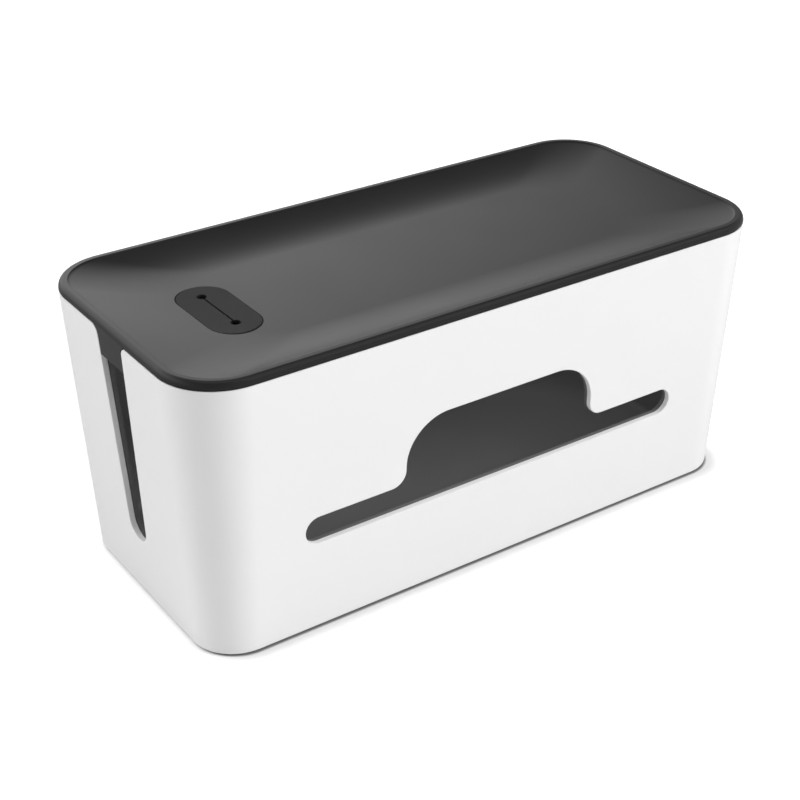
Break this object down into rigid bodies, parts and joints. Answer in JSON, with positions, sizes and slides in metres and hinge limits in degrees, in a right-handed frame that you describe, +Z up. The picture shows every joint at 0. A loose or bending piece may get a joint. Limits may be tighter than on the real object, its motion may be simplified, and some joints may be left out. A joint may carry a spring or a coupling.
{
  "type": "cable management box",
  "caption": "Lidded box that hides a power strip and its cables, with leaning walls, a stepped side opening, open-topped end slots and a dished lift-off lid with a slit grommet.",
  "frame": {"origin": "centre of the footprint, on the surface that the feet stand on", "axes": "+X along the box away from the grommet, -Y towards the stepped opening, +Z up"},
  "size_m": [0.285, 0.1312, 0.1268],
  "materials": {
    "shell_plastic": "satin white ABS",
    "liner_plastic": "matt dark grey ABS",
    "lid_plastic": "fine satin texture, dark grey ABS",
    "grommet_silicone": "matt silicone",
    "foot_rubber": "matt rubber"
  },
  "bodies": {
    "box": {"outer_shell": "shell_plastic", "inner_liner": "liner_plastic", "foot_front_left": "foot_rubber", "foot_front_right": "foot_rubber", "foot_rear_left": "foot_rubber", "foot_rear_right": "foot_rubber"},
    "lid": {"lid": "lid_plastic", "cable_grommet": "grommet_silicone"}
  },
  "joints": [
    {"name": "lid_lift", "type": "slide", "parent": "box", "child": "lid", "axis": [0, 0, 1], "range_m": [0, 0.08]}
  ]
}
